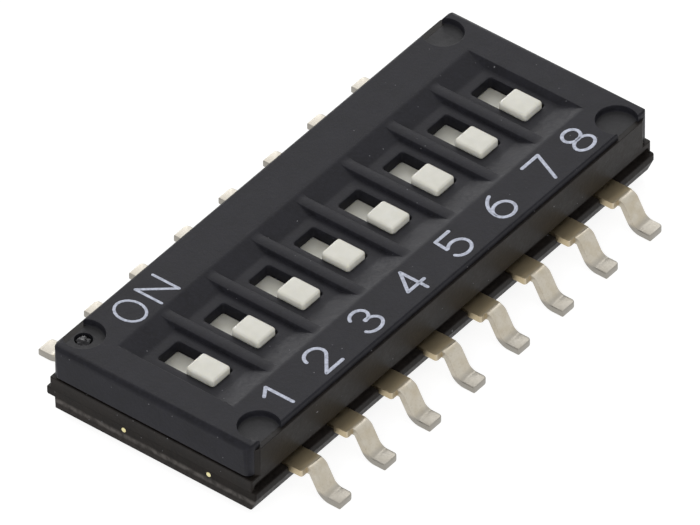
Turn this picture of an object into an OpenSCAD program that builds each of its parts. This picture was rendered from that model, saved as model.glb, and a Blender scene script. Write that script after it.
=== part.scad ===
// Surface-mount slide switch bank: one row of small slide switches in a moulded case.
// X runs along the row, with switch 1 at the -X end. +Y is the ON side, -Y the number side.
// Z = 0 is the board that the feet stand on, and the origin is the centre of the footprint.
// Every slider is drawn OFF, at the -Y end of its window. All sizes are in millimetres.

/* [Row] */
// Number of switches in the row
ways = 8; // [2:1:10]
// Distance from one switch to the next
pitch = 1.27; // [1.05:0.01:2.54]
// From the centre of an end switch to the end of the case
end_margin = 1.255; // [1:0.005:2]

/* [Heights] */
// Height of the case bottom above the board
stand_off = 0.12; // [0.05:0.01:0.2]
// Underside of the terminals where they leave the case
lead_z = 0.47; // [0.44:0.01:0.7]
// Wall of the base above the fixed contacts, up to its parting face
base_wall_h = 0.2; // [0.16:0.01:0.3]
// Gap that shows all round between the base and the cover
seam_gap = 0.05; // [0.02:0.01:0.08]
// Height of the block on the base that locates the cover
plug_h = 0.16; // [0.1:0.01:0.2]
// Working height of a moving contact
clip_h = 0.3; // [0.25:0.01:0.4]
// Thickness of a slider's plate
plate_t = 0.26; // [0.2:0.01:0.35]
// Roof of the cover under a pocket
roof_t = 0.23; // [0.15:0.01:0.3]
// Depth of a pocket below the top face
pocket_depth = 0.12; // [0.08:0.01:0.25]

/* [Cover] */
// Width of the cover
cover_w = 4.4; // [3.9:0.01:5.6]
// Radius of the cover's upright corners
cover_corner_r = 0.15; // [0.05:0.01:0.3]
// Wall of the cover round the locating block
cover_wall = 0.35; // [0.2:0.01:0.4]
// Size of the rounded top edges along the row
side_ease = 0.04; // [0.02:0.01:0.1]
// Size of the rounded top edges at the ends
end_ease = 0.12; // [0.05:0.01:0.15]
// Flat floor of a pocket beyond each end of its window
floor_margin = 0.21; // [0.05:0.005:0.3]
// Run of the slope at each end of a pocket
slope_run = 0.46; // [0.2:0.01:0.6]
// Width of the pocket row beyond the end switches' centres
pocket_side = 0.54; // [0.4:0.01:0.8]
// Offset of the windows from the sliders, which rest nearer to one side
window_shift = 0.02; // [0:0.005:0.03]
// Width of the rib between two pockets, at its foot
rib_w = 0.28; // [0.22:0.01:0.4]
// Offset of the ribs from the middles between the switches
rib_shift = 0.035; // [0:0.005:0.05]
// Width of a rib's flat crest
rib_top_w = 0.2; // [0.1:0.01:0.2]
// Drop of a rib's crest below the top face
rib_drop = 0.02; // [0.01:0.005:0.06]
// Radius of the round recess at each corner of the top
recess_r = 0.385; // [0.2:0.005:0.45]
// Depth of the round recesses, and of the side walls' tops, below the top face
recess_depth = 0.13; // [0.05:0.01:0.2]
// Distance of a recess centre from the end of the case
recess_x = 0.6; // [0.5:0.01:0.8]
// Distance of a recess centre from the side of the cover
recess_y = 0.25; // [0.1:0.01:0.5]
// Radius of the mould-gate pit in one recess
gate_r = 0.165; // [0.05:0.005:0.2]
// Depth of the mould-gate pit
gate_depth = 0.08; // [0.05:0.01:0.15]

/* [Base] */
// Ledge of the base beyond the cover, on the number side
wall_ledge = 0.055; // [0.02:0.005:0.12]
// Ledge of the base beyond the cover, on the ON side
on_wall_ledge = 0.09; // [0.02:0.005:0.12]
// Thickness of the base's side walls
side_wall_t = 0.1; // [0.08:0.005:0.2]
// Distance of a side wall's ends from the ends of the case
wall_end = 0.15; // [0.1:0.01:0.2]
// Length of the flat that takes off a side wall's outer corners
wall_cut = 0.1; // [0.02:0.01:0.15]
// Clearance between a side wall and the cover
wall_gap = 0.005; // [0.005:0.005:0.03]
// Ledge of the base lip beyond the cover, on the long sides
lip_ledge = 0.136; // [0.1:0.002:0.3]
// Set-back of the groove floor from the cover's side
groove_inset = 0.02; // [0:0.01:0.1]
// Height of the groove above the lip
groove_h = 0.15; // [0.08:0.01:0.18]
// Drop of the lip's top below the terminals' top
lip_drop = 0.06; // [0:0.01:0.1]
// Length of the post that closes each end of a groove
post_l = 0.06; // [0.05:0.01:0.2]
// Radius of the base's upright corners
base_corner_r = 0.03; // [0.02:0.01:0.15]
// Height of the lip
lip_h = 0.1; // [0.08:0.01:0.2]
// Inward lean of the lip's underside
lip_foot_in = 0.12; // [0.02:0.01:0.2]
// Height of the lip's leaning underside
lip_foot_h = 0.33; // [0.03:0.01:0.33]
// Set-back of the plinth from the cover's side
plinth_inset = 0.1; // [0.05:0.01:0.2]
// Inward lean of the case's lower faces at the ends
end_undercut = 0.01; // [0.01:0.01:0.25]

/* [Slider] */
// Travel from OFF to ON
travel = 0.6; // [0.4:0.01:0.8]
// Length of the knob along its travel
knob_l = 0.62; // [0.4:0.01:0.8]
// Width of the knob
knob_w = 0.51; // [0.35:0.01:0.56]
// Rise of the knob's top above the cover's top face
knob_proud = 0.005; // [0:0.005:0.1]
// Radius of the knob's upright corners
knob_corner_r = 0.05; // [0.02:0.01:0.1]
// Clearance at each side of the knob in its window
knob_side_gap = 0.035; // [0.03:0.005:0.06]
// Clearance at each end of the knob's travel
knob_end_gap = 0.01; // [0.005:0.005:0.05]
// Lap of the plate past the window's ends when the knob is at a stop
window_lap = 0.05; // [0.02:0.01:0.1]
// Lap of the plate past each side of the window
side_lap = 0.025; // [0.025:0.005:0.04]
// Running clearance round a plate
plate_gap = 0.02; // [0.01:0.005:0.04]
// Diameter of the stake that holds the moving contact
stake_d = 0.14; // [0.08:0.01:0.2]

/* [Moving contact] */
// Thickness of the spring strip
clip_t = 0.05; // [0.03:0.005:0.06]
// Width of the spring strip
clip_w = 0.3; // [0.2:0.01:0.45]
// Distance between the two touching points
clip_reach = 0.96; // [0.8:0.01:1]
// Length of the flat middle under the plate
clip_flat = 0.46; // [0.3:0.01:0.5]
// Running clearance over the fixed contacts, and round the stake
contact_gap = 0.005; // [0.005:0.005:0.02]

/* [Terminals] */
// Thickness of the terminal strip
lead_t = 0.14; // [0.1:0.01:0.2]
// Width of a terminal
lead_w = 0.38; // [0.25:0.01:0.5]
// Reach of the terminals beyond the base lip
lead_reach = 1.014; // [0.9:0.002:1.4]
// Offset of the ON-side terminals towards the -X end
on_terminal_shift = 0.055; // [0:0.005:0.06]
// Extra width of the shoulder, on the -X edge
shoulder_extra = 0.145; // [0:0.005:0.25]
// Length of the shoulder that shows beyond the base lip
shoulder_out = 0.31; // [0.1:0.01:0.31]
// Length of the shoulder held inside the base
shoulder_in = 0.5; // [0.2:0.01:0.6]
// Length of the flat foot
foot_l = 0.36; // [0.2:0.01:0.4]
// Lean of the terminal's leg from upright, in degrees
leg_lean = 28.5; // [10:0.5:40]
// Inside radius of the terminal's bends
bend_r = 0.06; // [0.03:0.01:0.1]
// Number-side fixed contact past the last touching point
fixed_lap = 0.1; // [0.05:0.01:0.2]
// Part of the travel over which the ON-side contact touches
make_travel = 0.15; // [0.1:0.01:0.3]

/* [Tie bars] */
// Diameter of a cut tie bar in the case's end
tie_d = 0.12; // [0.08:0.01:0.2]
// Height of a tie bar's middle above the board
tie_z = 0.46; // [0.38:0.01:0.5]
// Place of the ON-side tie bar from the middle
tie_on_y = 0.6; // [0.4:0.005:1.2]
// Place of the number-side tie bar from the middle
tie_number_y = 1.29; // [0.4:0.01:1.4]
// Length of a tie bar held inside the base
tie_l = 0.45; // [0.2:0.01:0.6]
// How far the cut end stands out of the case
tie_proud = 0.01; // [0:0.005:0.05]

/* [Hidden] */
$fn = 48;
eps = 0.01;
numbers = [for (i = [1:ways]) i];

body_l = (ways - 1) * pitch + 2 * end_margin;
function switch_x(i) = (i - (ways + 1) / 2) * pitch;

// Heights, from the board up
lead_top = lead_z + lead_t;
seam_z = lead_top + base_wall_h;
cover_z = seam_z + seam_gap;
plug_top = seam_z + plug_h;
plate_z = lead_top + contact_gap + clip_h;
roof_z = plate_z + plate_t + plate_gap;
pocket_z = roof_z + roof_t;
top_z = pocket_z + pocket_depth;
lip_top = lead_top - lip_drop;
lip_z = lip_top - lip_h;
groove_top = lip_top + groove_h;
wall_top = top_z - recess_depth;

// Widths of the base, from the cover's side
lip_w = cover_w + 2 * lip_ledge;
tongue_w = cover_w + 2 * wall_ledge - 2 * side_wall_t;
groove_w = cover_w - 2 * groove_inset;
plinth_w = cover_w - 2 * plinth_inset;

// Slider and what it runs in
window_l = knob_l + travel + 2 * knob_end_gap;
window_w = knob_w + 2 * knob_side_gap;
plate_l = window_l + travel + 2 * window_lap;
plate_w = window_w + 2 * side_lap;
trough_l = plate_l + travel + 2 * plate_gap;
trough_w = plate_w + 2 * plate_gap;
rest_y = -travel / 2;
pocket_floor_l = window_l + 2 * floor_margin;
pocket_l = pocket_floor_l + 2 * slope_run;

// Fixed contacts
number_tip_y = rest_y + travel - clip_reach / 2 + fixed_lap;
on_tip_y = rest_y + travel + clip_reach / 2 - make_travel;
lead_tip_y = lip_w / 2 + lead_reach;

module rounded_rect(l, w, r) {
    square([l - 2 * r, w], center = true);
    square([l, w - 2 * r], center = true);
    for (sx = [-1, 1], sy = [-1, 1])
        translate([sx * (l / 2 - r), sy * (w / 2 - r)]) circle(r);
}

// A plate of the case between two heights
module case_plate(w, z0, z1, r) {
    translate([0, 0, z0]) linear_extrude(z1 - z0) rounded_rect(body_l, w, r);
}

// A Y-Z outline carried along X, and an X-Z outline carried along Y
module along_x(l) {
    rotate([90, 0, 90]) linear_extrude(l, center = true) children();
}

module along_y(l) {
    rotate([90, 0, 0]) linear_extrude(l, center = true) children();
}

// Outline that leans in towards its foot
module leaning_side(half, z0, z1, bottom_in, bottom_h) {
    polygon([
        [-half + bottom_in, z0], [half - bottom_in, z0], [half, z0 + bottom_h],
        [half, z1], [-half, z1], [-half, z0 + bottom_h]
    ]);
}

// Outline whose two top corners are rounded off by flats
module eased_side(half, z0, z1, ease) {
    polygon([
        [-half, z0], [half, z0],
        [half, z1 - ease], [half - ease * 0.29, z1 - ease * 0.29], [half - ease, z1],
        [-half + ease, z1], [-half + ease * 0.29, z1 - ease * 0.29], [-half, z1 - ease]
    ]);
}

// Space that one slider and its contact run in
module trough(z0, z1) {
    translate([-trough_w / 2, -trough_l / 2, z0]) cube([trough_w, trough_l, z1 - z0]);
}

// Terminal outline seen from the end of the row, for the +Y side: strip, leg and foot
module bend(at, r, from, sweep) {
    steps = 6;
    inner = [for (k = [0:steps]) at + r * [cos(from + sweep * k / steps), sin(from + sweep * k / steps)]];
    outer = [for (k = [steps:-1:0])
        at + (r + lead_t) * [cos(from + sweep * k / steps), sin(from + sweep * k / steps)]];
    polygon(concat(inner, outer));
}

leg_turn = 90 - leg_lean;
foot_bend = [lead_tip_y - foot_l, lead_t + bend_r];
leg_foot = foot_bend - (bend_r + lead_t) * [sin(leg_turn), cos(leg_turn)];
crest_z = lead_z - bend_r;
leg_crest_z = crest_z + (bend_r + lead_t) * cos(leg_turn);
leg_rise = leg_crest_z - (foot_bend[1] - bend_r * cos(leg_turn));
crest_y = foot_bend[0] - bend_r * sin(leg_turn) - leg_rise * tan(leg_lean)
    - (bend_r + lead_t) * sin(leg_turn);
crest_bend = [crest_y, crest_z];

module leg_outline() {
    crest_in = crest_bend + bend_r * [sin(leg_turn), cos(leg_turn)];
    crest_out = crest_bend + (bend_r + lead_t) * [sin(leg_turn), cos(leg_turn)];
    foot_in = foot_bend - bend_r * [sin(leg_turn), cos(leg_turn)];
    bend(crest_bend, bend_r, 90, -leg_turn);
    polygon([crest_in, crest_out, foot_in, leg_foot]);
    bend(foot_bend, bend_r, 270 - leg_turn, leg_turn);
    translate([foot_bend[0], 0]) square([foot_l, lead_t]);
}

// Flat part of a terminal, from the tip of its fixed contact to the crest of its leg
module terminal_strip(tip_y) {
    translate([-lead_w / 2, tip_y, lead_z]) cube([lead_w, crest_y - tip_y, lead_t]);
    translate([-lead_w / 2 - shoulder_extra, lip_w / 2 - shoulder_in, lead_z])
        cube([shoulder_extra + eps, shoulder_in + shoulder_out, lead_t]);
}

module number_strip() {
    // The strip starts short of the middle, on the number side
    mirror([0, 1, 0]) terminal_strip(-number_tip_y);
}

module on_strip() {
    translate([-on_terminal_shift, 0, 0]) terminal_strip(on_tip_y);
}

module tie_bar(end, y) {
    l = tie_l + tie_proud;
    translate([end * (body_l / 2 + tie_proud - l / 2), y, tie_z]) rotate([0, 90, 0])
        cylinder(d = tie_d, h = l, center = true);
}

// Groove along one side of the case, with round ends
module groove(side) {
    l = body_l - 2 * post_l - groove_h;
    floor_y = groove_w / 2;
    translate([0, side * (floor_y + lip_w / 2), lip_top + groove_h / 2]) {
        cube([l, lip_w, groove_h], center = true);
        for (end = [-1, 1]) translate([end * l / 2, 0, 0]) rotate([90, 0, 0])
            cylinder(d = groove_h, h = lip_w, center = true);
    }
}

// The base's levels from the plinth up to the parting face
module base_levels() {
    case_plate(plinth_w, stand_off, lip_z, base_corner_r);
    intersection() {
        case_plate(lip_w, lip_z - lip_foot_h, lip_top, base_corner_r);
        along_x(body_l + 1)
            leaning_side(lip_w / 2, lip_z - lip_foot_h, lip_top, lip_foot_in, lip_foot_h);
    }
    difference() {
        translate([0, (on_wall_ledge - wall_ledge) / 2, 0])
            case_plate(cover_w + wall_ledge + on_wall_ledge, lip_top - eps, seam_z, base_corner_r);
        groove(-1);
        groove(1);
    }
}

// Block that the cover drops over
module plug() {
    size = [
        body_l - 2 * cover_wall - 2 * plate_gap,
        tongue_w - 2 * cover_wall - 2 * plate_gap
    ];
    translate([0, 0, seam_z - eps]) linear_extrude(plug_h + eps) square(size, center = true);
}

// Outline of the side wall on one side
module wall_outline(side, ledge) {
    end = body_l / 2 - wall_end;
    scale([1, side]) polygon([
        [-end, tongue_w / 2], [end, tongue_w / 2], [end, cover_w / 2],
        [end - wall_cut, cover_w / 2 + ledge], [-end + wall_cut, cover_w / 2 + ledge],
        [-end, cover_w / 2]
    ]);
}

// Walls that stand outside the cover, along the row
module side_walls() {
    translate([0, 0, seam_z - eps]) linear_extrude(wall_top - seam_z + eps) {
        wall_outline(-1, wall_ledge);
        wall_outline(1, on_wall_ledge);
    }
}

module base() {
    color([0.17, 0.16, 0.16]) difference() {
        union() {
            intersection() {
                base_levels();
                along_y(lip_w + 1)
                    leaning_side(body_l / 2, stand_off, seam_z, end_undercut, lip_z - stand_off);
            }
            plug();
            side_walls();
        }
        for (i = numbers) translate([switch_x(i), 0, 0]) {
            trough(lead_top, plug_top + eps);
            number_strip();
            on_strip();
        }
        for (end = [-1, 1]) {
            tie_bar(end, tie_on_y);
            tie_bar(end, -tie_number_y);
        }
    }
}

// Rib between two pockets, which runs out into the slopes at its ends
module rib() {
    h = pocket_depth - rib_drop;
    half = rib_w / 2;
    crest = rib_top_w / 2;
    along_y(pocket_l - slope_run * rib_drop / pocket_depth) translate([0, pocket_z]) polygon([
        [-half, -eps], [half, -eps], [half, 0], [crest + (half - crest) * 0.4, h * 0.8],
        [crest, h], [-crest, h], [-crest - (half - crest) * 0.4, h * 0.8], [-half, 0]
    ]);
}

module pocket_row() {
    difference() {
        along_x((ways - 1) * pitch + 2 * pocket_side) polygon([
            [-pocket_floor_l / 2, pocket_z], [pocket_floor_l / 2, pocket_z],
            [pocket_l / 2, top_z], [pocket_l / 2, top_z + eps],
            [-pocket_l / 2, top_z + eps], [-pocket_l / 2, top_z]
        ]);
        for (i = [1:ways - 1]) translate([switch_x(i) + pitch / 2 + rib_shift, 0, 0]) rib();
    }
}

// Space that the base's side walls take beside and under the cover
module wall_space() {
    l = body_l - 2 * wall_end + 2 * wall_gap;
    w = side_wall_t + wall_gap;
    h = wall_top + wall_gap - cover_z + eps;
    for (side = [-1, 1])
        translate([0, side * (tongue_w / 2 - wall_gap + w / 2), wall_top + wall_gap - h / 2])
            cube([l, w, h], center = true);
}

module cover() {
    recess_cx = body_l / 2 - recess_x;
    recess_cy = cover_w / 2 - recess_y;
    rebate_w = tongue_w - 2 * cover_wall;
    color([0.2, 0.2, 0.22]) difference() {
        intersection() {
            case_plate(cover_w, cover_z, top_z, cover_corner_r);
            along_x(body_l + 1) eased_side(cover_w / 2, cover_z, top_z, side_ease);
            along_y(cover_w + 1) eased_side(body_l / 2, cover_z, top_z, end_ease);
        }
        wall_space();
        // Rebate that drops over the locating block and seats on its top
        translate([0, 0, (cover_z + plug_top) / 2 - eps / 2])
            cube([body_l - 2 * cover_wall, rebate_w, plug_top - cover_z + eps], center = true);
        pocket_row();
        for (i = numbers) translate([switch_x(i), 0, 0]) {
            trough(plug_top - eps, roof_z);
            translate([window_shift, 0, roof_z - eps]) linear_extrude(roof_t + 2 * eps)
                rounded_rect(window_w, window_l, knob_corner_r);
        }
        for (sx = [-1, 1], sy = [-1, 1])
            translate([sx * recess_cx, sy * recess_cy, top_z - recess_depth])
                cylinder(r = recess_r, h = recess_depth + eps);
        translate([-recess_cx, recess_cy + eps, top_z - recess_depth - gate_depth])
            cylinder(r = gate_r, h = gate_depth + eps);
    }
}

module slider(i) {
    color([0.86, 0.85, 0.8]) translate([switch_x(i), rest_y, 0]) {
        translate([-plate_w / 2, -plate_l / 2, plate_z]) cube([plate_w, plate_l, plate_t]);
        translate([0, 0, plate_z + plate_t / 2])
            linear_extrude(top_z + knob_proud - plate_z - plate_t / 2)
                rounded_rect(knob_w, knob_l, knob_corner_r);
        translate([0, 0, plate_z - clip_t]) cylinder(d = stake_d, h = clip_t + eps);
    }
}

// A strip of the moving contact between two points, with round ends
module clip_bar(from, to) {
    along = to - from;
    translate(from) rotate(atan2(along[1], along[0])) translate([0, -clip_t / 2])
        square([norm(along), clip_t]);
    for (end = [from, to]) translate(end) circle(d = clip_t);
}

module moving_contact(i) {
    high = plate_z - clip_t / 2;
    low = lead_top + contact_gap + clip_t / 2;
    toe = clip_reach / 2 + 0.08;
    toe_z = low + 0.06;
    color([0.8, 0.66, 0.4]) translate([switch_x(i), rest_y, 0]) difference() {
        along_x(clip_w) {
            clip_bar([-clip_flat / 2, high], [clip_flat / 2, high]);
            for (side = [-1, 1]) {
                clip_bar([side * clip_flat / 2, high], [side * clip_reach / 2, low]);
                clip_bar([side * clip_reach / 2, low], [side * toe, toe_z]);
            }
        }
        translate([0, 0, plate_z - 2 * clip_t])
            cylinder(d = stake_d + 2 * contact_gap, h = 3 * clip_t);
    }
}

module leg() {
    along_x(lead_w) leg_outline();
}

module number_terminal(i) {
    color([0.76, 0.71, 0.62]) translate([switch_x(i), 0, 0]) {
        number_strip();
        mirror([0, 1, 0]) leg();
    }
}

module on_terminal(i) {
    color([0.76, 0.71, 0.62]) translate([switch_x(i), 0, 0]) {
        on_strip();
        translate([-on_terminal_shift, 0, 0]) leg();
    }
}

module tie_bar_node(end, y) {
    color([0.83, 0.66, 0.3]) tie_bar(end, y);
}

base();
cover();
for (i = numbers) {
    slider(i);
    moving_contact(i);
    number_terminal(i);
    on_terminal(i);
}
tie_bar_node(-1, tie_on_y);  // near_on_tie_bar
tie_bar_node(-1, -tie_number_y);  // near_number_tie_bar
tie_bar_node(1, tie_on_y);  // far_on_tie_bar
tie_bar_node(1, -tie_number_y);  // far_number_tie_bar
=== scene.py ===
# %% [markdown]
# # A bank of eight slide switches
#
# The real object is smaller than a fingernail: a moulded black case 11.4 mm long, with eight
# ivory sliders standing in pockets and sixteen stamped terminals along its long sides. The
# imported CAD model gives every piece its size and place. This notebook models each piece again
# with the fine shape that a moulding tool and a press leave on it, and gives it its finish.
#
# Everything is modelled in millimetres, because a rounding of 0.03 is easier to think about
# than one of 0.00003, and each finished mesh is scaled to metres once, at the end.

# %% Load the frame
import math
import bmesh
import bpy
from mathutils import Matrix, Vector, noise as space_noise


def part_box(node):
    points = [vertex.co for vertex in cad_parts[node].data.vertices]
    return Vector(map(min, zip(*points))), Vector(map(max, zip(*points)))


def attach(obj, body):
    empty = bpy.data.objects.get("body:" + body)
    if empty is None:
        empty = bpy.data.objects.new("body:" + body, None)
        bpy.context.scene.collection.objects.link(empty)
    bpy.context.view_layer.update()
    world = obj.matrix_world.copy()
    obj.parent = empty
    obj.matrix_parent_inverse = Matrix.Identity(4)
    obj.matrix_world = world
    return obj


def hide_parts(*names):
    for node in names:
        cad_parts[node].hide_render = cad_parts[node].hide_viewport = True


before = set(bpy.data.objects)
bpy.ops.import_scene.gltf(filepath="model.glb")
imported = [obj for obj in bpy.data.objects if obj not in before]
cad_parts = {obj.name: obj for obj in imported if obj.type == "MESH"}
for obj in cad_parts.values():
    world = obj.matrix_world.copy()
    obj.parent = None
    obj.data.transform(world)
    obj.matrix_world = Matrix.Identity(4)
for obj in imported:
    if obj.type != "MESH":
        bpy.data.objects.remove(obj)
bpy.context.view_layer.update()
MM = 0.001
WAYS = sum(1 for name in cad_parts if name.startswith("slider_"))
print("switches in the row:", WAYS)

# %% [markdown]
# ## The camera
#
# The camera stands well back with a very long lens, as a product photographer's does, so the
# case's parallel edges stay almost parallel. Its place is given as an azimuth, an elevation
# and a distance from a point in the middle of the case.

# %% Camera
CAMERA_AZIMUTH = math.radians(-51.475)
CAMERA_ELEVATION = math.radians(41.498)
CAMERA_ROLL = math.radians(-0.585)
CAMERA_DISTANCE = 0.28771
CAMERA_TARGET = Vector((-0.000038, 0.000029, 0.0007))
CAMERA_FOCAL_WIDTHS = 23.3413
SENSOR_WIDTH = 36


def make_camera():
    """The long-lens camera, turned to its target and rolled a little."""
    back = Vector((
        math.sin(CAMERA_AZIMUTH) * math.cos(CAMERA_ELEVATION),
        -math.cos(CAMERA_AZIMUTH) * math.cos(CAMERA_ELEVATION),
        math.sin(CAMERA_ELEVATION),
    ))
    right = (-back).cross(Vector((0, 0, 1))).normalized()
    up = right.cross(-back)
    turn = Matrix((right, up, back)).transposed().to_4x4()
    data = bpy.data.cameras.new("camera")
    data.sensor_width = SENSOR_WIDTH
    data.lens = CAMERA_FOCAL_WIDTHS * SENSOR_WIDTH
    data.clip_start = 0.01
    data.clip_end = 5
    camera = bpy.data.objects.new("camera", data)
    place = Matrix.Translation(CAMERA_TARGET + back * CAMERA_DISTANCE)
    camera.matrix_world = place @ turn @ Matrix.Rotation(CAMERA_ROLL, 4, "Z")
    bpy.context.scene.collection.objects.link(camera)
    bpy.context.scene.camera = camera
    return camera


print("camera at", [round(v, 4) for v in make_camera().matrix_world.translation])

# %% [markdown]
# ## Sizes from the frame
#
# The CAD boxes say where the pieces are. They are turned into millimetres here, so that the
# modelling below can use them directly.

# %% Sizes that several pieces share


def box_mm(node):
    """Lowest and highest corner of a CAD node, in millimetres."""
    low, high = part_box(node)
    return low / MM, high / MM


cover_low, cover_high = box_mm("cover")
base_low, base_high = box_mm("base")
HALF_L = cover_high.x
HALF_W = cover_high.y
TOP = cover_high.z
COVER_FOOT = cover_low.z
WALL_TOP = base_high.z
slider_boxes = [box_mm(f"slider_{i}") for i in range(1, WAYS + 1)]
CENTRES = [(low.x + high.x) / 2 for low, high in slider_boxes]
PITCH = CENTRES[1] - CENTRES[0]
LEAD_TOP = box_mm("on_terminal_1")[1].z
print("case half length and width", round(HALF_L, 3), round(HALF_W, 3), "top", round(TOP, 3))
print("pitch", round(PITCH, 4), "terminal top", round(LEAD_TOP, 3))

# Sizes of the pockets, windows, troughs and walls, the same as in the CAD model
POCKET_DEPTH = 0.12
POCKET_FLOOR = TOP - POCKET_DEPTH
ROOF = 0.23
ROOF_UNDER = POCKET_FLOOR - ROOF
WINDOW_HALF_W = 0.29
WINDOW_SHIFT = 0.02
WINDOW_HALF_L = 0.62
WINDOW_CORNER_R = 0.06
TROUGH_HALF_W = 0.335
TROUGH_HALF_L = 1.29
SEAM = LEAD_TOP + 0.2
PLUG_TOP = SEAM + 0.16
NUMBER_LEDGE = 0.055
ON_LEDGE = 0.09
SIDE_HALF_W = HALF_W + NUMBER_LEDGE
SIDE_WALL_T = 0.1
SIDE_WALL_HALF_L = HALF_L - 0.15
FIT = 0.003
print("pocket floor", round(POCKET_FLOOR, 3), "roof underside", round(ROOF_UNDER, 3))

# %% [markdown]
# ## Helpers for modelling
#
# A moulded part is easiest to make as the mould is: a block for the outside, and cutters for
# every hollow. Blender's Boolean modifier does the cutting, and the result is taken as a new
# mesh. Moulded and worn edges are rounded with one bevel helper, which always makes an arc.
# When a piece is done it is scaled to metres and shaded smooth, in a way that keeps large
# flat faces flat: the Weighted Normal modifier does that.

# %% Meshes and booleans
TINY = 1e-4


def as_object(name, bm):
    """A new object holding that bmesh, with its faces pointing outwards."""
    bmesh.ops.recalc_face_normals(bm, faces=bm.faces)
    mesh = bpy.data.meshes.new(name)
    bm.to_mesh(mesh)
    bm.free()
    obj = bpy.data.objects.new(name, mesh)
    bpy.context.scene.collection.objects.link(obj)
    return obj


def evaluated_mesh(obj):
    """A new mesh of obj, as its modifiers leave it."""
    bpy.context.view_layer.update()
    graph = bpy.context.evaluated_depsgraph_get()
    return bpy.data.meshes.new_from_object(obj.evaluated_get(graph))


def combine(obj, tools, operation):
    """obj cut by, or joined to, each tool in turn. The tools are used up."""
    for tool in tools:
        modifier = obj.modifiers.new("boolean", "BOOLEAN")
        modifier.operation = operation
        modifier.solver = "EXACT"
        modifier.object = tool
        result = evaluated_mesh(obj)
        obj.modifiers.clear()
        obj.data = result
        bpy.data.objects.remove(tool)
    return obj


def finish_piece(obj, node, body, material, sharp=35):
    """Scales a piece to metres, shades it, and puts it on its body in the CAD node's place."""
    obj.data.transform(Matrix.Scale(MM, 4))
    obj.data.materials.clear()
    obj.data.materials.append(material)
    for polygon in obj.data.polygons:
        polygon.use_smooth = True
        polygon.material_index = 0
    obj.data.set_sharp_from_angle(angle=math.radians(sharp))
    weighted = obj.modifiers.new("flat faces stay flat", "WEIGHTED_NORMAL")
    weighted.keep_sharp = True
    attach(obj, body)
    if node:
        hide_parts(node)
    return obj


# %% Blocks, bevels and the edges to round


def bevel(bm, geom, offset, segments, affect="EDGES"):
    """Rounds edges, or the corners of a face, with an arc."""
    bmesh.ops.bevel(
        bm, geom=geom, offset=offset, segments=segments, profile=0.5, affect=affect, material=-1
    )


def block(size_low, size_high, rounding=0.0, segments=3):
    """A bmesh box between two corners, with all its edges rounded."""
    bm = bmesh.new()
    bmesh.ops.create_cube(bm, size=1)
    low, high = Vector(size_low), Vector(size_high)
    bmesh.ops.scale(bm, vec=high - low, verts=bm.verts)
    bmesh.ops.translate(bm, vec=(low + high) / 2, verts=bm.verts)
    if rounding:
        bevel(bm, bm.edges[:], rounding, segments)
    return bm


def length_along(edge, axis):
    """How far an edge runs along an axis, 0 for X, 1 for Y and 2 for Z."""
    return abs(edge.verts[0].co[axis] - edge.verts[1].co[axis])


def upright_edges(bm):
    """The edges that climb more than a tenth of a millimetre."""
    return [e for e in bm.edges if length_along(e, 2) > 0.1]


def level_edges(bm, z):
    """The edges that lie at that height."""
    return [e for e in bm.edges if all(abs(v.co.z - z) < TINY for v in e.verts)]


def outer_edges(edges, reach):
    """Those of the edges that lie further than reach from the case's middle line."""
    return [e for e in edges if all(abs(v.co.y) > reach for v in e.verts)]


def new_verts(geom):
    """The vertices among what an operator made."""
    return [part for part in geom if isinstance(part, bmesh.types.BMVert)]


# %% [markdown]
# ## Materials
#
# Every surface here is small, so its texture is very fine: spark-eroded mould texture with a
# grain of some 20 micrometres on the case, a softer satin on the sliders, and rolling and
# shearing marks on the metal. All patterns are procedural noise on Object coordinates. A
# Mapping node turns metres into millimetres, so that a scale of 60 means 60 grains to the
# millimetre.

# %% Material helpers


def new_material(name):
    """An empty node material with its Principled shader and a millimetre coordinate."""
    material = bpy.data.materials.new(name)
    material.use_nodes = True
    nodes = material.node_tree.nodes
    shader = nodes["Principled BSDF"]
    coordinate = nodes.new("ShaderNodeTexCoord")
    mapping = nodes.new("ShaderNodeMapping")
    mapping.inputs["Scale"].default_value = (1 / MM, 1 / MM, 1 / MM)
    material.node_tree.links.new(coordinate.outputs["Object"], mapping.inputs["Vector"])
    return material, shader, mapping.outputs["Vector"]


def noise(material, vector, scale, detail=2.0, roughness=0.5):
    """A noise value at that many grains to the millimetre."""
    node = material.node_tree.nodes.new("ShaderNodeTexNoise")
    node.inputs["Scale"].default_value = scale
    node.inputs["Detail"].default_value = detail
    node.inputs["Roughness"].default_value = roughness
    material.node_tree.links.new(vector, node.inputs["Vector"])
    return node.outputs["Fac"]


def spread(material, value, low, high, out_low, out_high):
    """value mapped from low..high to out_low..out_high, held at both ends."""
    node = material.node_tree.nodes.new("ShaderNodeMapRange")
    node.inputs["From Min"].default_value = low
    node.inputs["From Max"].default_value = high
    node.inputs["To Min"].default_value = out_low
    node.inputs["To Max"].default_value = out_high
    material.node_tree.links.new(value, node.inputs["Value"])
    return node.outputs["Result"]


def blend_colours(material, factor, first, second):
    """A colour between two, by factor. Each is a colour or another node's output."""
    node = material.node_tree.nodes.new("ShaderNodeMix")
    node.data_type = "RGBA"
    node.clamp_factor = True
    links = material.node_tree.links
    links.new(factor, node.inputs["Factor"])
    for socket, colour in ((node.inputs[6], first), (node.inputs[7], second)):
        if isinstance(colour, tuple):
            socket.default_value = (*colour, 1)
        else:
            links.new(colour, socket)
    return node.outputs[2]


def axis_value(material, vector, axis):
    """One coordinate of a vector: X, Y or Z."""
    node = material.node_tree.nodes.new("ShaderNodeSeparateXYZ")
    material.node_tree.links.new(vector, node.inputs[0])
    return node.outputs[axis]


def calculated(owner, operation, *values):
    """What a Math node makes of those values, in a material or a world."""
    node = owner.node_tree.nodes.new("ShaderNodeMath")
    node.operation = operation
    for value, socket in zip(values, node.inputs):
        owner.node_tree.links.new(value, socket)
    return node.outputs[0]


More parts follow.
